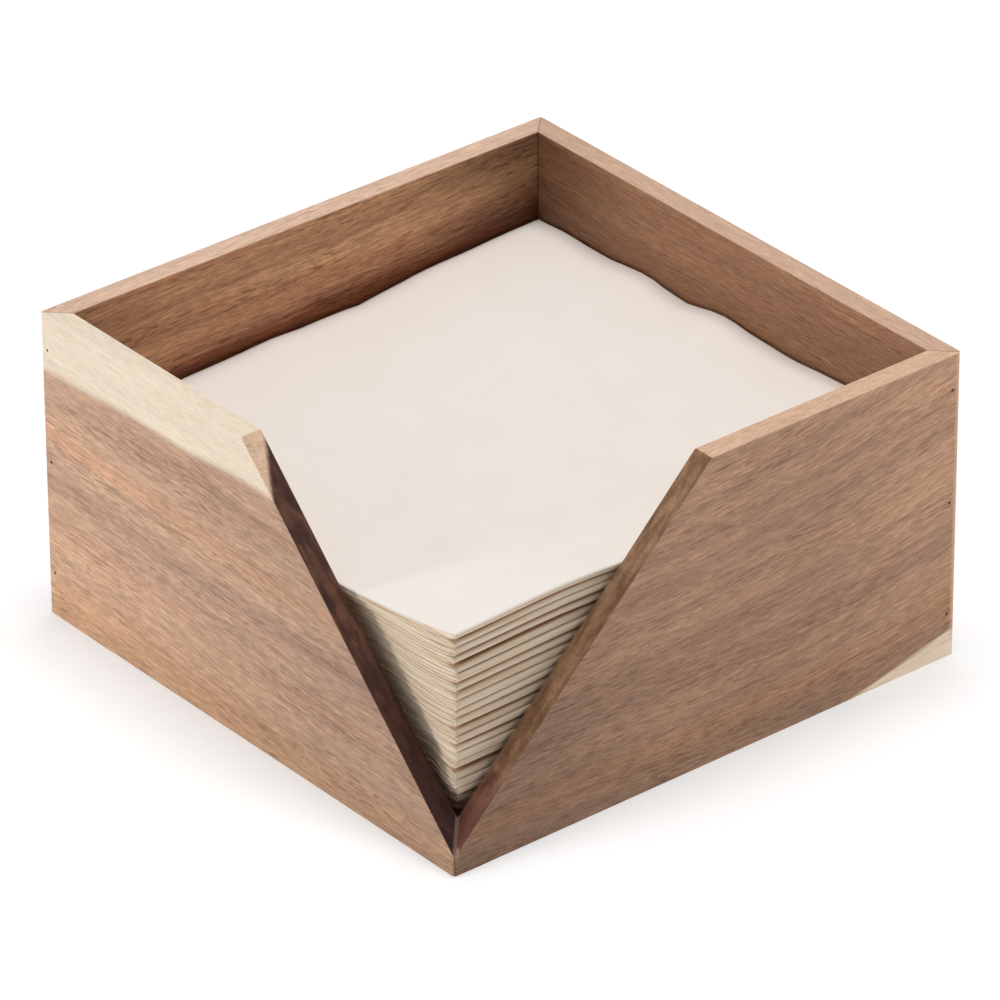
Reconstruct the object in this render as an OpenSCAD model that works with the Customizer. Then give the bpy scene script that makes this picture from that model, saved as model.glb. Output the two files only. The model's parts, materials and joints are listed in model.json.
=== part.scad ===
// Napkin dispenser for a counter or a serving hatch.
// A square open-topped box of thin hardwood boards, mitred at the corners. The two boards that
// meet at the front corner are cut away on a slant, which leaves a V-shaped finger notch.
// A base panel is held in a groove, and a pile of quarter-folded paper napkins fills the well.
// Origin: centre of the box on the surface it stands on. +Z up. The notched corner is at +X, -Y.

/* [Box] */
// Outside width and depth of the square box
box_w = 181; // [175:1:190]
// Height of the box from the table to the rim
box_h = 97; // [85:1:110]
// Thickness of the four boards
wall_t = 6.6; // [5.5:0.1:8]
// Radius of the eased upright outer edges
edge_r = 1.2; // [0.6:0.1:2]

/* [Finger notch] */
// Distance from the notched corner to the top of the slant cut, along each board
notch_run = 90; // [60:0.5:100]
// Height of the lip that is left at the notched corner
lip_h = 6.3; // [6:0.1:20]

/* [Base] */
// Height of the base panel's underside above the table
base_z = 4; // [3:0.5:5]
// Thickness of the base panel
base_t = 4; // [3:0.5:4.5]
// Depth of the groove that holds the panel
groove_d = 3; // [2:0.5:3.5]
// Gap between the panel's edge and the bottom of the groove
groove_gap = 0.5; // [0.2:0.1:1]

/* [Pins] */
// Diameter of the headless pins across the mitres
pin_d = 0.9; // [0.6:0.1:1.2]
// Length of a pin
pin_len = 16; // [12:1:20]
// Depth of a pin's end below the face of the board
pin_set = 0.3; // [0.2:0.1:0.6]
// Distance of the pins from the corner
pin_in = 3; // [2.5:0.1:3.5]

/* [Napkins] */
// Side of a folded napkin, a quarter of the open sheet
napkin_w = 166; // [150:0.5:166]
// Corner radius of a folded napkin
napkin_r = 2.5; // [1:0.5:5]
// Height of the pile at its middle
pile_h = 60; // [50:1:65]
// Rise of the pile's top towards +X, where the main fold is, in millimetres per millimetre
rise_x = 0.040; // [0:0.005:0.05]
// Rise of the pile's top towards +Y, where the double folds are
rise_y = 0.022; // [0:0.002:0.03]
// How far single napkins lie out of line with the pile
stray = 0.25; // [0:0.05:0.3]
// Air between one napkin and the next
air = 0.15; // [0.1:0.05:0.3]

/* [Hidden] */

napkins = 22;                        // napkins in the pile, one node each
half = box_w / 2;                    // half the outside width
well = half - wall_t;                // half the inside width
slope = (box_h - lip_h) / notch_run; // rise of the slant cut
floor_z = base_z + base_t;           // top of the base panel
slot_h = base_t + 0.2;               // height of the groove
pin_z = [14, box_h / 2 + 1.5, box_h - 11]; // heights of the pins at each full corner
big = 2 * box_w;

// Square with round corners, built from straight strips and full circles.
module rounded_square(s, r) {
    square([s, s - 2 * r], center = true);
    square([s - 2 * r, s], center = true);
    for (x = [-1, 1], y = [-1, 1])
        translate([x * (s / 2 - r), y * (s / 2 - r)]) circle(r, $fn = 48);
}

// One mitred board along -Y, full height, with its upright outer edges eased.
module mitred_board() {
    linear_extrude(box_h) intersection() {
        polygon([[-half, -half], [half, -half], [well, -well], [-well, -well]]);
        rounded_square(box_w, edge_r);
    }
}

// The groove for the base panel, as one square slab that every board is cut with.
module base_groove() {
    translate([-well - groove_d, -well - groove_d, base_z])
        cube([2 * (well + groove_d), 2 * (well + groove_d), slot_h]);
}

// The slant cut at one end of a board that lies along -Y; end is 1 for its +X end, -1 for its -X end.
module slant_cut(end) {
    over = 6;
    translate([0, -well + 1, 0]) rotate([90, 0, 0]) linear_extrude(wall_t + 2)
        polygon([[end * (half + over), lip_h - over * slope],
                 [end * (half + over), box_h + over],
                 [end * (half - notch_run - over / slope), box_h + over]]);
}

// Row of straight pins at one corner. The corner is turned to -X, -Y, where the pins run along +Y.
module pin_row(r, from, len) {
    for (z = pin_z)
        translate([-half + pin_in, -half + from, z]) rotate([-90, 0, 0])
            cylinder(r = r, h = len, $fn = 32);
}

// The pins of all three full-height corners: left, back and right.
module all_pins(from, len) {
    pin_row(pin_d / 2, from, len);
    mirror([0, 1, 0]) pin_row(pin_d / 2, from, len);
    mirror([1, -1, 0]) mirror([1, 0, 0]) mirror([0, 1, 0]) pin_row(pin_d / 2, from, len);
}

// The holes that those pins fill.
module pin_holes() {
    all_pins(-1, pin_len + pin_set + 1);
}

// Everything above a plane that passes through [0, 0, c] and rises by m times the pile's lean.
module above_plane(c, m) {
    run = sqrt(1 + pow(m * rise_x, 2) + pow(m * rise_y, 2));
    translate([0, 0, c]) rotate([asin(m * rise_y / run), -atan(m * rise_x), 0])
        translate([-big, -big, 0]) cube([2 * big, 2 * big, big]);
}

// One folded napkin, k from 1 at the bottom to napkins at the top. Each is a thin wedge:
// the folds are thicker than the open edges, so the pile leans more towards its top.
module napkin(k) {
    m0 = (k - 1) / napkins;
    m1 = k / napkins;
    translate([stray * sin(k * 137), stray * cos(k * 101), 0]) difference() {
        translate([0, 0, floor_z]) linear_extrude(pile_h + 8) rounded_square(napkin_w, napkin_r);
        above_plane(floor_z + m1 * pile_h - air, m1);
        if (k > 1) translate([0, 0, floor_z + m0 * pile_h]) mirror([0, 0, 1])
            below_cut(m0);
    }
}

// Everything below the plane through the origin that rises by m times the pile's lean,
// written for use inside a mirror in Z.
module below_cut(m) {
    run = sqrt(1 + pow(m * rise_x, 2) + pow(m * rise_y, 2));
    rotate([-asin(m * rise_y / run), atan(m * rise_x), 0])
        translate([-big, -big, 0]) cube([2 * big, 2 * big, big]);
}

// Board at the front left, cut away at its +X end.
module front_wall() {
    color([0.76, 0.60, 0.49]) difference() {
        mitred_board();
        base_groove();
        slant_cut(1);
        pin_holes();
    }
}

// Board at the front right, cut away at its -Y end.
module right_wall() {
    color([0.66, 0.51, 0.41]) difference() {
        rotate([0, 0, 90]) difference() {
            mitred_board();
            slant_cut(-1);
        }
        base_groove();
        pin_holes();
    }
}

// Full board at the back.
module back_wall() {
    color([0.52, 0.38, 0.30]) difference() {
        rotate([0, 0, 180]) mitred_board();
        base_groove();
        pin_holes();
    }
}

// Full board at the left.
module left_wall() {
    color([0.45, 0.31, 0.24]) difference() {
        rotate([0, 0, 270]) mitred_board();
        base_groove();
        pin_holes();
    }
}

// Panel that closes the bottom, loose in its groove.
module base_panel() {
    side = 2 * (well + groove_d - groove_gap);
    color([0.60, 0.45, 0.35]) translate([-side / 2, -side / 2, base_z]) cube([side, side, base_t]);
}

// Headless pins across the three full-height mitres.
module corner_pins() {
    color([0.30, 0.26, 0.24]) all_pins(pin_set, pin_len);
}

front_wall();
right_wall();
back_wall();
left_wall();
base_panel();
corner_pins();
color([0.94, 0.90, 0.83]) napkin(1);  // napkin_01
color([0.93, 0.89, 0.82]) napkin(2);  // napkin_02
color([0.94, 0.90, 0.83]) napkin(3);  // napkin_03
color([0.93, 0.89, 0.82]) napkin(4);  // napkin_04
color([0.94, 0.90, 0.83]) napkin(5);  // napkin_05
color([0.93, 0.89, 0.82]) napkin(6);  // napkin_06
color([0.94, 0.90, 0.83]) napkin(7);  // napkin_07
color([0.93, 0.89, 0.82]) napkin(8);  // napkin_08
color([0.94, 0.90, 0.83]) napkin(9);  // napkin_09
color([0.93, 0.89, 0.82]) napkin(10);  // napkin_10
color([0.94, 0.90, 0.83]) napkin(11);  // napkin_11
color([0.93, 0.89, 0.82]) napkin(12);  // napkin_12
color([0.94, 0.90, 0.83]) napkin(13);  // napkin_13
color([0.93, 0.89, 0.82]) napkin(14);  // napkin_14
color([0.94, 0.90, 0.83]) napkin(15);  // napkin_15
color([0.93, 0.89, 0.82]) napkin(16);  // napkin_16
color([0.94, 0.90, 0.83]) napkin(17);  // napkin_17
color([0.93, 0.89, 0.82]) napkin(18);  // napkin_18
color([0.94, 0.90, 0.83]) napkin(19);  // napkin_19
color([0.93, 0.89, 0.82]) napkin(20);  // napkin_20
color([0.94, 0.90, 0.83]) napkin(21);  // napkin_21
color([0.95, 0.91, 0.85]) napkin(22);  // napkin_22
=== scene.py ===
import bpy
import json
import math
import numpy as np
from mathutils import Matrix, Vector

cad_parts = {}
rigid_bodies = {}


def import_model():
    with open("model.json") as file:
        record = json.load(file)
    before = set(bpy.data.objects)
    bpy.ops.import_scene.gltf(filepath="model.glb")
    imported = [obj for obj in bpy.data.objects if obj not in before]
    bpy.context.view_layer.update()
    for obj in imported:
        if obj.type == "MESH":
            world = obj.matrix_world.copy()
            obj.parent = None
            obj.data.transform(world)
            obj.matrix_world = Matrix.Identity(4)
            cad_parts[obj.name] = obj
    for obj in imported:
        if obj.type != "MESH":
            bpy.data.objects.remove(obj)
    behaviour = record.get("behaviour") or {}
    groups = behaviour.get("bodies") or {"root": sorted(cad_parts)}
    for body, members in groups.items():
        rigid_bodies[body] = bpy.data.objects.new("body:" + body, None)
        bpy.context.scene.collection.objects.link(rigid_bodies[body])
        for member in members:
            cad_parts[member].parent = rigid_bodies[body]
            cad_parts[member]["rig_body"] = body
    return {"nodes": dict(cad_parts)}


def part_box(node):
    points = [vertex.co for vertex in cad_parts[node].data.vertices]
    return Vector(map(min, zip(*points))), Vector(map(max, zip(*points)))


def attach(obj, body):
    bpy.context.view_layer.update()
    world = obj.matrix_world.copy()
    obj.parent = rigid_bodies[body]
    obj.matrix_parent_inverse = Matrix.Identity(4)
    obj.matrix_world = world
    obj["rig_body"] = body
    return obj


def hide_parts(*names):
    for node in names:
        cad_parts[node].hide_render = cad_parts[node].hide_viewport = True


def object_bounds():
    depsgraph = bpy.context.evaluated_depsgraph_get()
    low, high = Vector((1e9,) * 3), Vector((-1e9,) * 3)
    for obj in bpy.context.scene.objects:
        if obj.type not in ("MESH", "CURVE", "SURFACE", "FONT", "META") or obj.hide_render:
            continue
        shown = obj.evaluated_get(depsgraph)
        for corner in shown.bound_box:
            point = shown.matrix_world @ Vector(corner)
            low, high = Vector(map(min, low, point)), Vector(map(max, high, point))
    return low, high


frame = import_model()
cad_lo, cad_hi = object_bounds()
nodes = frame["nodes"]
scene = bpy.context.scene

# ------------------------------------------------------------------ sizes, all from the frame (mm)
MM = 1000.0
W = (cad_hi.x - cad_lo.x) * MM               # outside width
HALF = W / 2
H = (cad_hi.z - cad_lo.z) * MM               # rim height
b_lo, b_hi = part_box("base_panel")
FLOOR = b_hi.z * MM                          # top of the base panel
fw_lo, fw_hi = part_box("front_wall")
WALL = (fw_hi.y - fw_lo.y) * MM              # board thickness
WELL = HALF - WALL
RUN, LIP = 90.0, 6.3                        # the slant cut's run and the lip at the corner
SLOPE = (H - LIP) / RUN
NAPS = sorted(n for n in nodes if n.startswith("napkin_"))
N = len(NAPS)

# ------------------------------------------------------------------ camera
AZ, EL, ROLL = 0.88349, 0.52957, -0.00456
b = Vector((math.sin(AZ) * math.cos(EL), -math.cos(AZ) * math.cos(EL), math.sin(EL)))
fw = -b
r = fw.cross(Vector((0, 0, 1))).normalized()
u = r.cross(fw)
r2 = math.cos(ROLL) * r + math.sin(ROLL) * u
u2 = -math.sin(ROLL) * r + math.cos(ROLL) * u
cam_data = bpy.data.cameras.new("camera")
cam_data.sensor_width = 36.0
cam_data.lens = 307.71
cam_data.clip_start, cam_data.clip_end = 0.05, 20.0
cam = bpy.data.objects.new("camera", cam_data)
scene.collection.objects.link(cam)
place = Vector((8.8068, -7.2273, 6.9068)) * (W / MM)
cam.matrix_world = Matrix(((r2.x, u2.x, b.x, place.x), (r2.y, u2.y, b.y, place.y),
                           (r2.z, u2.z, b.z, place.z), (0, 0, 0, 1)))
scene.camera = cam


# ------------------------------------------------------------------ node helper
class Tree:
    """Short names for the nodes of one material."""

    def __init__(self, name):
        self.mat = bpy.data.materials.new(name)
        self.mat.use_nodes = True
        self.t = self.mat.node_tree
        self.t.nodes.clear()
        self.out = self.t.nodes.new("ShaderNodeOutputMaterial")
        self.bsdf = self.t.nodes.new("ShaderNodeBsdfPrincipled")
        self.t.links.new(self.bsdf.outputs[0], self.out.inputs[0])

    def put(self, socket, value):
        if isinstance(value, bpy.types.NodeSocket):
            self.t.links.new(value, socket)
        elif isinstance(value, (tuple, list)) and len(value) == 3 and socket.type == "RGBA":
            socket.default_value = (*value, 1.0)
        else:
            socket.default_value = value

    def math(self, op, a, c=None, d=None, clamp=False):
        n = self.t.nodes.new("ShaderNodeMath")
        n.operation, n.use_clamp = op, clamp
        for i, v in enumerate((a, c, d)):
            if v is not None:
                self.put(n.inputs[i], v)
        return n.outputs[0]

    def add(self, *v):
        s = v[0]
        for x in v[1:]:
            s = self.math("ADD", s, x)
        return s

    def mul(self, a, c):
        return self.math("MULTIPLY", a, c)

    def mad(self, a, c, d):
        return self.math("MULTIPLY_ADD", a, c, d)

    def vec(self, x, y, z):
        n = self.t.nodes.new("ShaderNodeCombineXYZ")
        for i, v in enumerate((x, y, z)):
            self.put(n.inputs[i], v)
        return n.outputs[0]

    def noise(self, v, scale=1.0, detail=2.0, rough=0.5, lac=2.0, dist=0.0):
        n = self.t.nodes.new("ShaderNodeTexNoise")
        self.put(n.inputs["Vector"], v)
        n.inputs["Scale"].default_value = scale
        n.inputs["Detail"].default_value = detail
        n.inputs["Roughness"].default_value = rough
        n.inputs["Lacunarity"].default_value = lac
        n.inputs["Distortion"].default_value = dist
        return n.outputs[0]

    def step(self, v, lo, hi, a=0.0, c=1.0):
        """a below lo, c above hi, smooth between."""
        n = self.t.nodes.new("ShaderNodeMapRange")
        n.interpolation_type = "SMOOTHSTEP"
        self.put(n.inputs["Value"], v)
        for name, x in (("From Min", lo), ("From Max", hi), ("To Min", a), ("To Max", c)):
            self.put(n.inputs[name], x)
        return n.outputs[0]

    def line(self, v, lo, hi, a=0.0, c=1.0):
        n = self.t.nodes.new("ShaderNodeMapRange")
        self.put(n.inputs["Value"], v)
        for name, x in (("From Min", lo), ("From Max", hi), ("To Min", a), ("To Max", c)):
            self.put(n.inputs[name], x)
        return n.outputs[0]

    def mix(self, f, a, c, mode="MIX"):
        n = self.t.nodes.new("ShaderNodeMix")
        n.data_type, n.blend_type = "RGBA", mode
        n.clamp_factor = True
        self.put(n.inputs[0], f)
        self.put(n.inputs[6], a)
        self.put(n.inputs[7], c)
        return n.outputs[2]

    def ramp(self, f, stops):
        n = self.t.nodes.new("ShaderNodeValToRGB")
        cr = n.color_ramp
        cr.interpolation = "EASE"
        while len(cr.elements) < len(stops):
            cr.elements.new(0.5)
        for e, (p, c) in zip(cr.elements, stops):
            e.position, e.color = p, (*c, 1.0)
        self.put(n.inputs[0], f)
        return n.outputs[0]

    def bump(self, height, distance, strength=1.0, under=None):
        n = self.t.nodes.new("ShaderNodeBump")
        n.inputs["Strength"].default_value = strength
        n.inputs["Distance"].default_value = distance
        self.put(n.inputs["Height"], height)
        if under is not None:
            self.put(n.inputs["Normal"], under)
        return n.outputs[0]

    def xyz(self):
        """The piece's own coordinates, in millimetres."""
        c = self.t.nodes.new("ShaderNodeTexCoord")
        m = self.t.nodes.new("ShaderNodeVectorMath")
        m.operation = "MULTIPLY"
        self.t.links.new(c.outputs["Object"], m.inputs[0])
        m.inputs[1].default_value = (MM, MM, MM)
        s = self.t.nodes.new("ShaderNodeSeparateXYZ")
        self.t.links.new(m.outputs[0], s.inputs[0])
        return s.outputs[0], s.outputs[1], s.outputs[2]


def lin(r8, g8, b8, k=1.0):
    """An 8-bit screen colour as the linear value that a shader takes."""
    def f(c):
        c = min(max(c / 255.0, 0.0), 1.0)
        return (c / 12.92 if c <= 0.04045 else ((c + 0.055) / 1.055) ** 2.4) * k
    return (f(r8), f(g8), f(b8))


# ------------------------------------------------------------------ wood
def wood(name, along, seed, tones, pores=0.6, slope=0.0, arch=None, wander=8.0, shade=None,
         stripes=(), sap=None, sap_col=None, cut=None, cut_col=None, edge_col=None, mitres=(),
         rim_col=None, rough=0.52, figure=1.0, inside=None):
    """Oiled hardwood with its grain along one axis of the board.

    along is 'x' or 'y'. tones are the colours that the broad bands run through. stripes are long
    darker or paler bands: (height, rise along the board, half width, colour factor). sap returns the
    sapwood mask, cut is +1 or -1 for the end with the slant cut. inside returns 1 on the board's inner
    face: a stripe with a fifth item stays there (the left board's band of painted shade along the napkins).
    shade returns painted light and shade as a factor on the colour. Distances are in millimetres.
    """
    g = Tree(name)
    x, y, z = g.xyz()
    L, D = (x, y) if along == "x" else (y, x)
    o = seed * 37.0
    mid = lambda v: g.math("SUBTRACT", v, 0.5)
    # the grain wanders a little and rises along the board
    w1 = g.noise(g.vec(g.mad(L, 0.008, o), g.mul(z, 0.014), g.mul(D, 0.014)), 1.0, 1.0)
    w2 = g.noise(g.vec(g.mad(L, 0.032, o + 7), g.mul(z, 0.05), g.mul(D, 0.05)), 1.0, 1.0)
    A = g.add(z, g.mul(mid(w1), wander), g.mul(mid(w2), 2.4))
    if slope:
        A = g.add(A, g.mul(L, slope))
    if arch is not None:
        A = g.add(A, arch(g, x, y, z))
    bands = g.noise(g.vec(g.mad(L, 0.0042, o + 3), g.mul(A, 0.060), g.mul(D, 0.03)), 1.0, 2.0, 0.5)
    band2 = g.noise(g.vec(g.mad(L, 0.008, o + 5), g.mul(A, 0.20), g.mul(D, 0.12)), 1.0, 2.0, 0.5)
    streak = g.noise(g.vec(g.mad(L, 0.042, o + 11), g.mul(A, 0.9), g.mul(D, 0.5)), 1.0, 3.0, 0.6)
    fine = g.noise(g.vec(g.mad(L, 0.20, o + 17), g.mul(A, 1.8), g.mul(D, 1.3)), 1.0, 2.0, 0.65)
    long = g.noise(g.vec(g.mad(L, 0.034, o + 13), g.mul(A, 2.3), g.mul(D, 1.6)), 1.0, 1.0, 0.5)
    fibre = g.noise(g.vec(g.mad(L, 0.32, o + 19), g.mul(A, 4.2), g.mul(D, 3.4)), 1.0, 2.0, 0.6)
    dash = g.noise(g.vec(g.mad(L, 0.17, o + 23), g.mul(A, 1.55), g.mul(D, 1.2)), 1.0, 1.0, 0.5)
    dash2 = g.noise(g.vec(g.mad(L, 0.34, o + 29), g.mul(A, 2.9), g.mul(D, 2.2)), 1.0, 1.0, 0.5)
    patch = g.noise(g.vec(g.mad(L, 0.016, o + 31), g.mul(A, 0.07), 0.0), 1.0, 2.0)
    n = len(tones)
    col = g.ramp(bands, [(0.34 + 0.32 * i / (n - 1), c) for i, c in enumerate(tones)])
    within = inside(g, x, y, z) if inside is not None else 1.0
    for z0, rise, half, factor, *inner_only in stripes:
        off = g.math("ABSOLUTE", g.math("SUBTRACT", g.math("SUBTRACT", A, z0), g.mul(L, rise)))
        m = g.math("SUBTRACT", 1.0, g.step(g.add(off, g.mul(mid(streak), half)), half * 0.35, half * 1.25))
        # a stripe kept to the inner face: the left board's painted shade along the top of the napkins
        if inner_only:
            m = g.mul(m, within)
        col = g.mix(m, col, g.mix(1.0, col, factor, "MULTIPLY"))
    if inside is not None:
        col = g.mix(within, g.mix(1.0, col, (0.80, 0.86, 0.94), "MULTIPLY"), col)
    # long bands and fine light and dark fibres
    v = g.add(1.0, g.mul(mid(band2), 0.46 * figure), g.mul(mid(streak), 0.50 * figure), g.mul(mid(fine), 0.95),
              g.mul(mid(fibre), 0.75), g.mul(mid(long), 0.62))
    col = g.mix(1.0, col, g.vec(v, v, v), "MULTIPLY")
    # pale flecks, and open pores as short dark dashes along the grain
    fleck = g.mul(g.step(dash, 0.42, 0.32), 0.55)
    col = g.mix(fleck, col, g.mix(1.0, col, (1.20, 1.19, 1.16), "MULTIPLY"))
    p1 = g.step(dash, 0.575, 0.645)
    p2 = g.step(dash2, 0.58, 0.66)
    p3 = g.mul(g.step(long, 0.62, 0.69), g.step(dash, 0.44, 0.54))
    patchy = g.step(patch, 0.40, 0.60, 0.45, 1.0)
    pore = g.mul(g.math("MAXIMUM", g.math("MAXIMUM", p1, p3), g.mul(p2, 0.75)), g.mul(patchy, pores))
    col = g.mix(pore, col, g.mix(1.0, col, (0.56, 0.48, 0.45), "MULTIPLY"))
    height = g.add(g.mul(fibre, 0.30), g.mul(fine, 0.25), g.mul(streak, 0.15), g.mul(pore, -0.9))
    # painted light and shade, as a factor on the colour
    if shade is not None:
        sh = shade(g, x, y, z)
        col = g.mix(1.0, col, g.vec(sh, sh, sh), "MULTIPLY")
    if sap is not None:
        m = sap(g, x, y, z, w2, streak, fine)
        v = g.add(1.0, g.mul(mid(band2), 0.22), g.mul(mid(streak), 0.30), g.mul(mid(fine), 0.34),
                  g.mul(mid(fibre), 0.16))
        sc = g.mix(1.0, sap_col, g.vec(v, v, v), "MULTIPLY")
        lines = g.mul(g.step(streak, 0.53, 0.66), 0.45)
        sc = g.mix(lines, sc, g.mix(1.0, sc, (0.93, 0.83, 0.72), "MULTIPLY"))
        sc = g.mix(g.mul(p1, 0.30), sc, g.mix(1.0, sc, (0.86, 0.74, 0.62), "MULTIPLY"))
        col = g.mix(m, col, sc)
    if rim_col is not None:   # the top edge is paler than the faces: partly sanded, partly painted light from above
        rim = g.step(z, H - 0.45, H - 0.1)
        v = g.add(1.0, g.mul(mid(streak), 0.45), g.mul(mid(fine), 0.5), g.mul(mid(fibre), 0.3))
        rc = g.mix(1.0, rim_col, g.vec(v, v, v), "MULTIPLY")
        rc = g.mix(g.mul(pore, 0.55), rc, g.mix(1.0, rc, (0.66, 0.54, 0.48), "MULTIPLY"))
        col = g.mix(g.mul(rim, 0.9), col, rc)
    face = None
    if cut is not None:       # end grain on the slant cut: dark, with pores as dots
        zc = g.add(g.mul(g.math("SUBTRACT", HALF, g.mul(L, cut)), SLOPE), LIP)
        under = g.mul(g.math("SUBTRACT", zc, z), 1.0 / math.sqrt(1 + SLOPE * SLOPE))
        face = g.math("SUBTRACT", 1.0, g.step(under, 0.12, 0.42))
        dots = g.noise(g.vec(g.mul(x, 1.9), g.mul(y, 1.9), g.mad(z, 1.9, o)), 1.0, 3.0, 0.65)
        rings = g.noise(g.vec(g.mul(A, 0.30), g.mul(D, 0.16), g.mad(L, 0.02, o)), 1.0, 3.0, 0.6)
        e = g.add(1.0, g.mul(mid(dots), 1.2), g.mul(mid(rings), 1.0))
        ec = g.mix(1.0, cut_col(g, x, y, z), g.vec(e, e, e), "MULTIPLY")
        col = g.mix(face, col, ec)
        height = g.add(height, g.mul(g.mul(dots, face), 0.6))
    if edge_col is not None:  # eased upright edge, sanded paler
        near = g.math("MAXIMUM", g.math("SUBTRACT", HALF, g.math("ABSOLUTE", x)),
                      g.math("SUBTRACT", HALF, g.math("ABSOLUTE", y)))
        wob = g.mul(mid(streak), 1.0)
        m = g.mul(g.math("SUBTRACT", 1.0, g.step(g.add(near, wob), 1.1, 2.2)), 0.85)
        col = g.mix(g.mul(m, g.step(z, 2.0, 14.0)), col, edge_col)
    for sx, sy, tint in mitres:     # the dark glue line where two boards meet, and a pale purple-grey line along the mitre on the slant cuts
        dx = g.math("SUBTRACT", HALF, g.mul(x, float(sx)))
        dy = g.math("SUBTRACT", HALF, g.mul(y, float(sy)))
        q = g.math("ABSOLUTE", g.math("SUBTRACT", dx, dy))
        m = g.math("SUBTRACT", 1.0, g.step(q, 0.12, 0.42))
        if tint is not None and face is not None:
            m2 = g.mul(g.math("SUBTRACT", 1.0, g.step(q, 0.35, 1.15)), face)
            col = g.mix(g.mul(m2, 0.80), col, tint)
            m = g.mul(m, g.math("SUBTRACT", 1.0, face))
        col = g.mix(g.mul(m, 0.60), col, g.mix(1.0, col, (0.34, 0.25, 0.21), "MULTIPLY"))
    g.put(g.bsdf.inputs["Base Color"], col)
    rr = g.add(g.line(streak, 0.3, 0.7, rough - 0.05, rough + 0.07), g.mul(pore, 0.18))
    g.put(g.bsdf.inputs["Roughness"], rr)
    g.bsdf.inputs["IOR"].default_value = 1.45
    g.bsdf.inputs["Specular IOR Level"].default_value = 0.30
    g.put(g.bsdf.inputs["Normal"], g.bump(height, 0.00012, 0.55))
    return g.mat


def front_sap(g, x, y, z, w2, streak, fine):
    """Cream band along the top of the front board, a little deeper at its far end."""
    edge = g.add(g.line(x, -HALF, 0.0, 79.6, 83.6), g.mul(g.add(y, HALF), 1.6), g.mul(g.math("SUBTRACT", w2, 0.5), 2.6),
                 g.mul(g.math("SUBTRACT", streak, 0.5), 2.6), g.mul(g.math("SUBTRACT", fine, 0.5), 1.6))
    return g.step(g.math("SUBTRACT", z, edge), -1.9, 1.5)


def right_sap(g, x, y, z, w2, streak, fine):
    """Cream wedge at the foot of the right board, at its far end."""
    top = g.add(g.line(y, 44.0, HALF, -1.8, 8.8), g.mul(g.math("SUBTRACT", w2, 0.5), 2.0),
                g.mul(g.math("SUBTRACT", streak, 0.5), 2.0))
    return g.step(g.math("SUBTRACT", top, z), -0.6, 0.9)


def front_cut(g, x, y, z):
    n = g.noise(g.vec(g.mul(x, 0.14), g.mul(y, 0.5), g.mul(z, 0.14)), 1.0, 2.0)
    dark = g.mix(g.step(n, 0.36, 0.64), lin(64, 38, 30), lin(98, 63, 48))
    dark = g.mix(g.step(z, 30.0, 60.0), g.mix(0.7, dark, lin(52, 26, 22)), dark)
    edge = g.add(83.8, g.mul(g.add(y, HALF), 1.75), g.mul(g.math("SUBTRACT", n, 0.5), 3.0))
    return g.mix(g.step(g.math("SUBTRACT", z, edge), -1.4, 1.4), dark, lin(222, 188, 160))


def right_cut(g, x, y, z):
    n = g.noise(g.vec(g.mul(x, 0.5), g.mul(y, 0.14), g.mul(z, 0.14)), 1.0, 2.0)
    up = g.mix(g.step(n, 0.36, 0.64), lin(118, 85, 60), lin(144, 111, 84))
    return g.mix(g.step(z, 12.0, 34.0), g.mix(n, lin(90, 50, 42), lin(113, 69, 55)), up)


def right_arch(g, x, y, z):
    """Grain of the right board climbs towards its far end, more so near the top."""
    d = g.math("MAXIMUM", g.add(y, 20.0), 0.0)
    return g.mul(g.mul(g.mul(d, d), -0.0010), g.line(z, 0.0, 97.0, 0.45, 1.2))


# painted shade: the front board is darker towards the bottom and towards the notched end
def front_shade(g, x, y, z):
    low = g.line(g.math("ADD", z, g.mul(x, -0.2)), -10.0, 40.0, 0.93, 1.0)
    return g.mul(g.line(x, -80.0, 85.0, 1.05, 0.775), low)


# painted light and shade: the right board is darker towards the notched end and lighter towards its far end and towards
# the top
def right_shade(g, x, y, z):
    along = g.step(y, -92.0, 0.0, 0.72, 1.0)
    far = g.step(y, 30.0, 85.0, 1.0, 1.20)
    return g.mul(g.mul(along, far), g.line(z, 5.0, 90.0, 0.99, 1.46))


# painted shade: the left board is darker towards its back corner and towards its front end
def left_shade(g, x, y, z):
    return g.mul(g.step(y, 86.0, 30.0, 0.52, 1.0), g.step(y, -84.0, -20.0, 0.84, 1.0))


def left_inside(g, x, y, z):
    return g.step(x, -WELL - 0.8, -WELL - 0.2)


# painted shade: the back board is darker towards its back left corner
def back_shade(g, x, y, z):
    return g.step(x, -86.0, -30.0, 0.64, 1.0)


# a pale purple-grey line along the mitre, on the slant cuts
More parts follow.
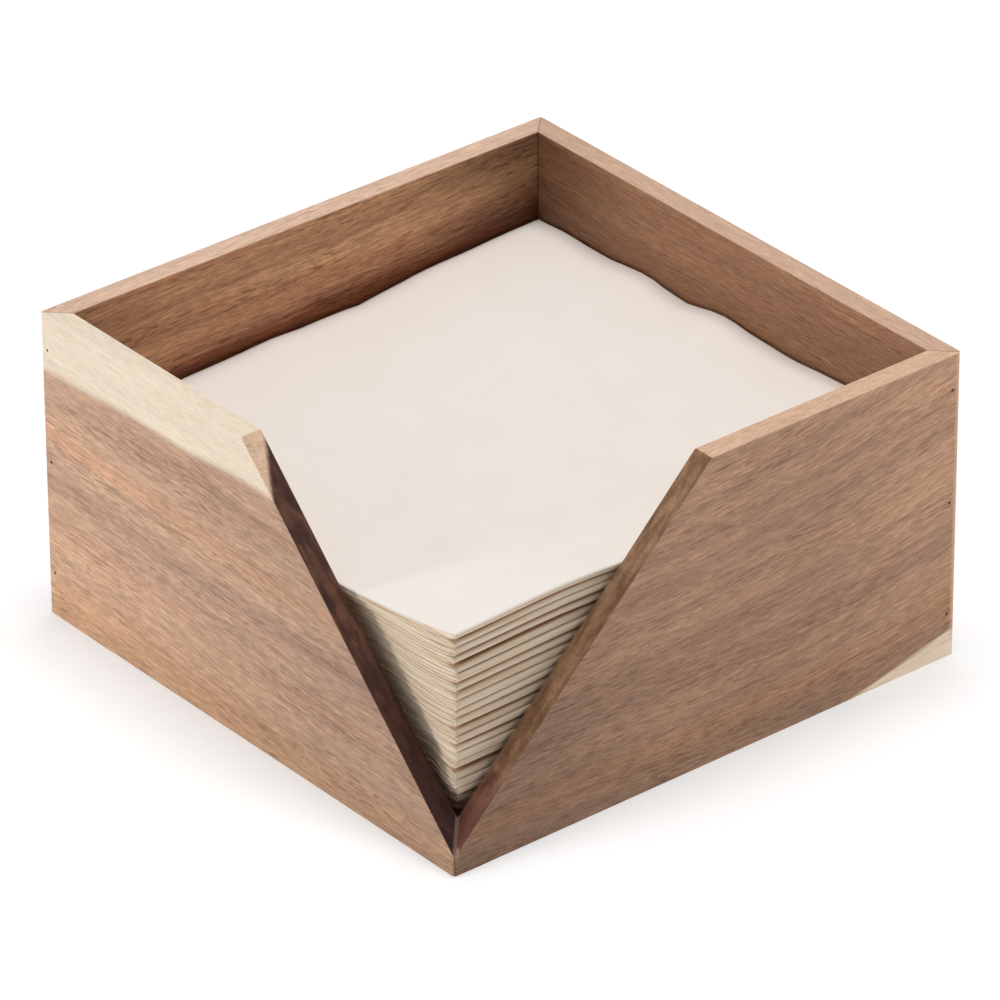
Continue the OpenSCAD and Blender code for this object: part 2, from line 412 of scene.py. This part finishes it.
MITRE_TINT = lin(128, 104, 98)
mats = {
    "front_wall": wood("front_board", "x", 1,
                       [lin(180, 142, 116), lin(188, 151, 126), lin(194, 157, 130), lin(198, 159, 129)],
                       pores=0.62, slope=0.03, shade=front_shade,
                       stripes=[(40.0, 0.0, 5.0, (0.92, 0.91, 0.93)), (27.5, 0.0, 3.6, (0.90, 0.87, 0.88)),
                                (5.0, 0.0, 10.0, (1.04, 0.98, 0.88)), (56.0, 0.0, 3.5, (1.03, 0.96, 0.93))],
                       sap=front_sap, sap_col=lin(233, 217, 196), cut=1, cut_col=front_cut,
                       mitres=((-1, -1, None), (1, -1, MITRE_TINT))),
    "right_wall": wood("right_board", "y", 2,
                       [lin(156, 121, 97), lin(163, 127, 102), lin(168, 131, 105), lin(173, 135, 106)],
                       pores=0.58, arch=right_arch, shade=right_shade, figure=0.85,
                       stripes=[(30.0, 0.0, 4.5, (0.90, 0.89, 0.92)), (62.0, 0.0, 5.0, (0.95, 0.95, 0.97)),
                                (11.0, 0.0, 5.0, (1.04, 0.98, 0.90))],
                       sap=right_sap, sap_col=lin(255, 233, 208), cut=-1, cut_col=right_cut,
                       edge_col=lin(232, 184, 150), rim_col=lin(214, 178, 150),
                       mitres=((1, -1, MITRE_TINT), (1, 1, None))),
    "back_wall": wood("back_board", "x", 3,
                      [lin(157, 114, 85), lin(168, 123, 92), lin(180, 135, 102)],
                      pores=0.45, slope=0.02, shade=back_shade, rim_col=lin(206, 172, 148),
                      mitres=((-1, 1, None), (1, 1, None))),
    "left_wall": wood("left_board", "y", 4,
                      [lin(172, 121, 87), lin(191, 138, 101), lin(210, 161, 119)],
                      pores=0.95, slope=-0.03, shade=left_shade, figure=1.35, rim_col=lin(222, 188, 164),
                      # the first stripe, on the inner face only, is painted shade along the top of the napkins
                      stripes=[(65.0, 0.03, 6.4, (0.42, 0.27, 0.20), True), (90.0, 0.0, 4.0, (0.82, 0.80, 0.80))], inside=left_inside,
                      mitres=((-1, 1, None), (-1, -1, None))),
    "base_panel": wood("base_board", "x", 5,
                       [lin(128, 90, 66), lin(140, 101, 75), lin(152, 112, 84)],
                       pores=0.6, rough=0.62),
}


def pin_metal():
    g = Tree("pins")
    x, y, z = g.xyz()
    n = g.noise(g.vec(g.mul(x, 3.0), g.mul(y, 3.0), g.mul(z, 3.0)), 1.0, 3.0)
    g.put(g.bsdf.inputs["Base Color"], g.ramp(n, [(0.35, lin(50, 38, 32)), (0.65, lin(92, 78, 68))]))
    g.bsdf.inputs["Metallic"].default_value = 0.6
    g.put(g.bsdf.inputs["Roughness"], g.line(n, 0.3, 0.7, 0.42, 0.65))
    g.put(g.bsdf.inputs["Normal"], g.bump(n, 0.00003, 0.4))
    return g.mat


mats["corner_pins"] = pin_metal()

for name, mat in mats.items():
    o = nodes[name]
    o.data.materials.clear()
    o.data.materials.append(mat)
    weld = o.modifiers.new("weld", "WELD")
    weld.merge_threshold = 0.000002
    if name != "corner_pins":
        bev = o.modifiers.new("eased", "BEVEL")
        bev.width = 0.00028
        bev.segments = 3
        bev.limit_method = "ANGLE"
        bev.angle_limit = math.radians(38)
        bev.harden_normals = False
        for p in o.data.polygons:
            p.use_smooth = False


# ------------------------------------------------------------------ paper
def paper():
    g = Tree("napkin")
    x, y, z = g.xyz()
    at = g.t.nodes.new("ShaderNodeAttribute")
    at.attribute_type, at.attribute_name = "GEOMETRY", "edge"
    edge = at.outputs["Fac"]
    fine = g.noise(g.vec(g.mul(x, 2.2), g.mul(y, 2.2), g.mul(z, 2.2)), 1.0, 4.0, 0.65)
    crepe = g.noise(g.vec(g.mul(x, 0.45), g.mul(y, 2.4), g.mul(z, 1.0)), 1.0, 3.0, 0.6)
    cloud = g.noise(g.vec(g.mul(x, 0.05), g.mul(y, 0.05), g.mul(z, 0.25)), 1.0, 3.0, 0.5)
    ply = g.noise(g.vec(g.mul(x, 0.03), g.mul(y, 0.03), g.mul(z, 0.9)), 1.0, 2.0, 0.5)
    tone = g.add(g.mul(fine, 0.35), g.mul(crepe, 0.25), g.mul(cloud, 0.40))
    col = g.ramp(tone, [(0.30, lin(232, 224, 215)), (0.52, lin(236, 228, 220)), (0.72, lin(240, 233, 225))])
    # cut edges and folds look deeper and warmer, as light passes through the plies there
    tan = g.ramp(ply, [(0.32, lin(216, 190, 160)), (0.50, lin(228, 207, 180)), (0.66, lin(234, 217, 194))])
    col = g.mix(g.mul(edge, 0.92), col, tan)
    inner = g.t.nodes.new("ShaderNodeAttribute")
    inner.attribute_type, inner.attribute_name = "GEOMETRY", "inner"
    col = g.mix(inner.outputs["Fac"], col, lin(178, 126, 84))    # painted shade inside the gaps, warmed as by light through the plies
    g.put(g.bsdf.inputs["Base Color"], col)
    g.put(g.bsdf.inputs["Roughness"], g.line(fine, 0.3, 0.7, 0.86, 0.97))
    g.bsdf.inputs["Specular IOR Level"].default_value = 0.15
    g.bsdf.inputs["Sheen Weight"].default_value = 0.05
    g.bsdf.inputs["Sheen Roughness"].default_value = 0.6
    height = g.add(g.mul(fine, 0.5), g.mul(crepe, 0.5))
    g.put(g.bsdf.inputs["Normal"], g.bump(height, 0.00010, 0.40))
    return g.mat


PAPER = paper()


def curve(xs, ys):
    """A smooth curve through the points that doesn't overshoot them."""
    xs, ys = np.array(xs, float), np.array(ys, float)
    h = np.diff(xs)
    d = np.diff(ys) / h
    m = np.zeros(len(xs))
    m[0], m[-1] = d[0], d[-1]
    for i in range(1, len(xs) - 1):
        m[i] = 0.0 if d[i - 1] * d[i] <= 0 else 2 * d[i - 1] * d[i] / (d[i - 1] + d[i])

    def f(t):
        t = np.clip(t, xs[0], xs[-1])
        i = np.clip(np.searchsorted(xs, t) - 1, 0, len(h) - 1)
        s = (t - xs[i]) / h[i]
        return ((1 + 2 * s) * (1 - s) ** 2 * ys[i] + s * (1 - s) ** 2 * h[i] * m[i]
                + s * s * (3 - 2 * s) * ys[i + 1] + s * s * (s - 1) * h[i] * m[i + 1])
    return f


# Height of the pile's top at its four corners and along its four edges
E = 83.0
C_F, C_R, C_B, C_L = 70.2, 72.8, 69.1, 61.2      # front, right, back, left corner
south = curve([-83, -30, 0, 20, 35, 45, 61.6, 78, 83], [61.2, 61.0, 60.9, 61.2, 62.3, 63.9, 66.1, 68.7, 70.2])
north = curve([-83, -78.6, -69.7, -60.8, -51.9, -43, -34, -25.2, -16.3, -7.4, 1.4, 10.3, 19.2, 28.1, 41, 60, 83],
              [69.1, 69.3, 69.8, 69.5, 69.4, 70.2, 70.9, 69.9, 69.5, 71.4, 72.3, 71.4, 71.1, 70.8, 71.7, 72.5, 72.8])
west = curve([-83, -43, -36, -28.5, -21, -13.6, -6.2, 1.2, 8.6, 16, 23.5, 31, 38.4, 45.8, 55, 69, 83],
             [61.4, 63.6, 63.7, 63.9, 64.4, 64.8, 64.6, 64.9, 65.0, 64.6, 65.5, 66.2, 67.2, 67.7, 68.0, 68.7, 69.1])
east = curve([-83, -75, -60, -47, -33, -25, 0, 40, 83], [70.2, 70.4, 70.9, 71.2, 70.7, 70.0, 69.8, 71.6, 72.8])


def top_height(x, y):
    """Height of the pile's top, in millimetres, from its edges' shapes."""
    p, q = (x + E) / (2 * E), (y + E) / (2 * E)
    p, q = np.clip(p, 0, 1), np.clip(q, 0, 1)
    flat = (1 - p) * (1 - q) * C_L + p * (1 - q) * C_F + (1 - p) * q * C_B + p * q * C_R
    s = south(x) - ((1 - p) * C_L + p * C_F)
    n = north(x) - ((1 - p) * C_B + p * C_R)
    w = west(y) - ((1 - q) * C_L + q * C_B)
    e = east(y) - ((1 - q) * C_F + q * C_R)
    f = lambda d, far: np.exp(-(d / far) ** 2)
    return (flat + s * f(y + E, 46) + n * f(E - y, 18) + w * f(x + E, 26) + e * f(E - x, 45))


rng = np.random.default_rng(7)
PHASE = rng.uniform(0, 2 * math.pi, (N + 1, 6))
THICK = rng.uniform(0.84, 1.14, N)
# Gaps under some napkins where the pile doesn't close: (share of a napkin, at the notched corner
# along the +X side, further along the +X side, along the -Y side)
GAPS = {21: (0.30, 0.12, 0.03), 19: (0.14, 0.34, 0.02), 18: (0.32, 0.30, 0.03), 16: (0.22, 0.30, 0.06),
        15: (0.05, 0.26, 0.02), 12: (0.05, 0.38, 0.02), 11: (0.34, 0.10, 0.05), 9: (0.12, 0.74, 0.02),
        6: (0.46, 0.50, 0.10), 3: (0.85, 0.70, 0.22), 1: (0.20, 0.20, 0.10)}


def shares(k, x, y):
    """Napkin k's thickness and the gap under it, as shares of the pile, before they are scaled."""
    a = PHASE[k]
    wave = (np.sin(x / 41 + a[0]) * np.sin(y / 37 + a[1]) + 0.5 * np.sin((x + y) / 21 + a[2])
            + 0.35 * np.sin((x - 1.3 * y) / 12 + a[3]))
    edge = np.maximum(np.abs(x), np.abs(y)) / E
    t = THICK[k] * (1 + 0.045 * wave * (0.4 + 0.6 * edge ** 3))
    g0, g1, g2 = GAPS.get(k, (0.02, 0.02, 0.01))
    along = np.clip((y + E) / 50.0, 0, 1)
    gx = (g0 * (1 - along) + g1 * along) * np.exp(-np.clip(E - x, 0, None) / 16.0)
    gy = g2 * np.exp(-np.clip(y + E, 0, None) / 12.0) * np.clip((E + 10 - x) / 40.0, 0.2, 1)
    return t, np.maximum(gx, gy)


def slot(k, x, y):
    """The lower and upper surface of the space that napkin k fills."""
    below = total = 0.0
    for j in range(N):
        t, gap = shares(j, x, y)
        if j == k:
            low, mine = below + gap, t
        below = below + t + gap
    scale = (top_height(x, y) - FLOOR) / below
    return FLOOR + low * scale, FLOOR + (low + mine) * scale


def spaced(n, power):
    """0 to 1 in n steps that are closer together at both ends."""
    t = np.linspace(0, 1, n + 1)
    s = 0.5 - 0.5 * np.cos(math.pi * t)
    return power * s + (1 - power) * t


def fold_params(flat_steps, fold_steps):
    """Places along one direction of the open sheet: (side, share of the way to the open edge, arc)."""
    t = spaced(flat_steps, 0.75)
    out = [(-1.0, float(1 - a), -math.pi / 2) for a in t]                 # open edge to the fold, lower half
    for i in range(1, fold_steps):
        out.append((0.0, 0.0, -math.pi / 2 + math.pi * i / fold_steps))   # round the fold
    out += [(1.0, float(a), math.pi / 2) for a in t]                      # the fold to the open edge, upper half
    return out


# How strong the line under each napkin's main fold is: there the folds are rounder, the crease gets
# deeper painted shade and the napkin below stands back a little
LINE = {21: 0.85, 19: 0.50, 18: 0.85, 16: 0.60, 15: 0.35, 12: 0.30, 11: 0.65, 9: 0.65, 6: 0.85, 3: 1.0, 1: 0.5}


def line_under(k):
    return LINE.get(k, 0.10 if k % 2 else 0.02)


def napkin(k, fine):
    """Napkin k (0 at the bottom), a 33 cm sheet folded in four.

    The main fold is on the +X side and wraps all four layers. The first fold is on the +Y side
    and makes two double edges. The -X and -Y sides are open, with four single edges each.
    """
    g = np.random.default_rng(100 + k)
    top = k == N - 1
    P = fold_params(fine, 8)
    nu = nv = len(P)
    fold_x = E - (0.9 if top else 1.0 + 0.55 * line_under(k + 1) + g.uniform(-0.10, 0.10))
    fold_y = E + (0.0 if top else g.uniform(-0.6, 0.2))
    front = 0.0 if top else g.uniform(0.0, 0.28)               # how far its open edges are drawn back
    turn = 0.0 if top else math.radians(g.uniform(-0.14, 0.14))
    jit = g.uniform(0.0, 0.32, (2, 2, 2))                      # each layer's own open edges
    wig = g.uniform(0, 2 * math.pi, 8)
    U, V = np.meshgrid(range(nu), range(nv), indexing="ij")
    su = np.array([p[0] for p in P])[U]
    du = np.array([p[1] for p in P])[U]
    au = np.array([p[2] for p in P])[U]
    sv = np.array([p[0] for p in P])[V]
    dv = np.array([p[1] for p in P])[V]
    av = np.array([p[2] for p in P])[V]
    sinu, cosu, sinv, cosv = np.sin(au), np.cos(au), np.sin(av), np.cos(av)
    bulge = 0.22 + 0.62 * (line_under(k) + (line_under(k + 1) - line_under(k)) * (0.5 + 0.5 * sinu))
    rad = 1.0 - 0.5 * sinv                                     # arc of the main fold, in layers
    h = 1.5 + sinu * rad                                       # 0 to 3: which layer
    iu, iv = (sinu > 0).astype(int), (sinv > 0).astype(int)
    endx = -E + 0.1 + jit[0, iu, iv]
    endy = -E + 0.1 + jit[1, iu, iv] + front
    s0 = 0.62
    cx, cy = fold_x - 1.5 * s0 * bulge, fold_y - 0.5 * s0 * bulge
    x = np.where(su == 0, cx + s0 * bulge * rad * cosu, cx + (endx - cx) * du)
    y = np.where(sv == 0, cy + s0 * bulge * 0.5 * cosv, cy + (endy - cy) * dv)
    # how near each point is to a fold or a cut edge, for the material
    inner = np.minimum(np.minimum(fold_x - x, fold_y - y), np.minimum(x - endx, y - endy))
    edge = 1.0 - np.clip((inner - 0.9) / 2.2, 0, 1)
    if top:
        edge = edge * np.clip((2.75 - h) / 0.5, 0, 1)
    # for the material too: painted shade on the faces just inside a gap (less so where a group of napkins lifts off)
    gap_shade = np.clip((inner - 1.2) / 1.2, 0, 1) * (1 - np.clip((inner - 4.0) / 5.0, 0, 1)) * 0.85
    gap_shade = gap_shade * np.where(h < 1.5, line_under(k), line_under(k + 1)) ** 0.5
    if k in (15, 16, 20, 21):
        gap_shade = gap_shade * 0.35
    crease = np.clip((np.abs(sinu) * (su == 0) - 0.72) / 0.28, 0, 1) + (su != 0) * (1 - np.clip((fold_x - x - 0.8) / 0.8, 0, 1))
    gap_shade = np.maximum(gap_shade, 0.80 * np.where(h < 1.5, line_under(k), line_under(k + 1))
                      * np.clip(crease, 0, 1) * np.clip((np.abs(h - 1.5) - 0.8) / 0.4, 0, 1))
    if top:
        gap_shade = gap_shade * np.clip((1.5 - h) / 0.5, 0, 1)
    # away from the notched corner the open -Y edges stand back from the board, which leaves a slot
    zc = FLOOR + (70.0 - FLOOR) * (k + 0.5) / N
    reach = np.clip((E - x) / max(E - HALF + (zc - LIP) / SLOPE, 14.0), 0, 1)
    y = y + {N - 1: 0.5, N - 2: 1.6}.get(k, 3.0) * reach ** 2 * dv
    # slightly wavy cut edges
    x = x + np.where(du > 0.9, 0.14 * np.sin(y / 9 + wig[0] + 2 * h) * (du - 0.9) * 10, 0)
    y = y + np.where(dv > 0.9, 0.14 * np.sin(x / 11 + wig[1] + 2 * h) * (dv - 0.9) * 10, 0)
    back = {0: 7.5, 1: 6.0, 2: 3.6, 3: 0.8}.get(k, 0.0)        # the lowest corners are pushed back at the notch
    if back:
        m = back * np.exp(-np.hypot(E - x, y + E) / 14.0)
        x, y = x - m, y + m
    # the folds aren't ruler-straight
    x = x + 0.22 * np.sin(y / 17 + wig[2]) * np.exp(-(E - x) / 8.0) * (0.4 if top else 1.0)
    c, s = math.cos(turn), math.sin(turn)
    x, y = c * x - s * y, s * x + c * y
    lim = WELL - 0.35
    x, y = np.clip(x, -lim, lim), np.clip(y, -lim, lim)
    # height: the four layers share the space between this napkin's lower and upper surface
    lo, hi = slot(k, x, y)
    step = np.minimum((hi - lo - 0.08) / 4.0, 0.70)
    zz = lo + 0.04 + step * (0.5 + h)
    if top:                                                    # soft unevenness of the sheet on top
        soft = (0.22 * np.sin(x / 23 + 1.1) * np.sin(y / 19 + 0.4) + 0.12 * np.sin((x + 0.6 * y) / 9.5)
                + 0.10 * np.sin((0.3 * x - y) / 7.0 + 2.0))
        zz = zz + soft * np.clip(h / 3, 0, 1) * 0.5
    co = np.stack([x, y, zz], -1).reshape(-1, 3) / MM
    idx = np.arange(nu * nv).reshape(nu, nv)
    faces = np.stack([idx[:-1, :-1], idx[1:, :-1], idx[1:, 1:], idx[:-1, 1:]], -1).reshape(-1, 4)
    mesh = bpy.data.meshes.new(NAPS[k] + "_sheet")
    mesh.from_pydata(co.tolist(), [], faces.tolist())
    mesh.update()
    at = mesh.attributes.new("edge", "FLOAT", "POINT")
    at.data.foreach_set("value", edge.reshape(-1).astype(np.float32))
    at = mesh.attributes.new("inner", "FLOAT", "POINT")
    at.data.foreach_set("value", gap_shade.reshape(-1).astype(np.float32))
    mesh.polygons.foreach_set("use_smooth", [True] * len(mesh.polygons))
    mesh.materials.append(PAPER)
    o = bpy.data.objects.new(NAPS[k] + "_sheet", mesh)
    scene.collection.objects.link(o)
    sol = o.modifiers.new("ply", "SOLIDIFY")
    sol.thickness = 0.00044
    sol.offset = 0.0
    sol.use_rim = True
    return o


for k in range(N):
    o = napkin(k, 44 if k == N - 1 else 20)
    body = nodes[NAPS[k]]["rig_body"]
    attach(o, body)
    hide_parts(NAPS[k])


# ------------------------------------------------------------------ floor and light
def floor_material():
    g = Tree("studio_floor")
    x, y, z = g.xyz()
    n = g.noise(g.vec(g.mul(x, 0.004), g.mul(y, 0.004), 0.0), 1.0, 2.0)
    g.put(g.bsdf.inputs["Base Color"], g.ramp(n, [(0.3, (0.59, 0.59, 0.59)), (0.7, (0.61, 0.61, 0.61))]))
    g.bsdf.inputs["Roughness"].default_value = 0.9
    g.bsdf.inputs["Specular IOR Level"].default_value = 0.1
    g.bsdf.inputs["Emission Color"].default_value = (1.0, 1.0, 1.0, 1.0)   # a lit white table
    g.bsdf.inputs["Emission Strength"].default_value = 0.46
    return g.mat


mesh = bpy.data.meshes.new("floor")
S = 4.0
z0 = cad_lo.z - 0.00005
mesh.from_pydata([(-S, -S, z0), (S, -S, z0), (S, S, z0), (-S, S, z0)], [], [(0, 1, 2, 3)])
mesh.materials.append(floor_material())
floor = bpy.data.objects.new("floor", mesh)
scene.collection.objects.link(floor)

world = bpy.data.worlds.new("studio")
world.use_nodes = True
world.node_tree.nodes["Background"].inputs[0].default_value = (1.0, 1.0, 1.0, 1.0)
world.node_tree.nodes["Background"].inputs[1].default_value = 0.36
scene.world = world


def area(name, place, target, size, power, tint=(1, 1, 1)):
    d = bpy.data.lights.new(name, "AREA")
    d.shape, d.size, d.energy, d.color = "SQUARE", size, power, tint
    o = bpy.data.objects.new(name, d)
    o.location = place
    o.rotation_euler = (Vector(target) - Vector(place)).to_track_quat("-Z", "Y").to_euler()
    scene.collection.objects.link(o)
    return o


area("key", (-0.98, -1.70, 0.14), (0, 0, 0.05), 0.40, 16.5, (1.0, 0.99, 0.975))
area("top", (-0.05, 0.16, 2.05), (0, 0, 0.05), 0.8, 27.2)

scene.view_settings.view_transform = "Standard"
scene.view_settings.look = "None"
scene.view_settings.exposure = 0.0
scene.view_settings.gamma = 1.0
scene.cycles.use_denoising = True
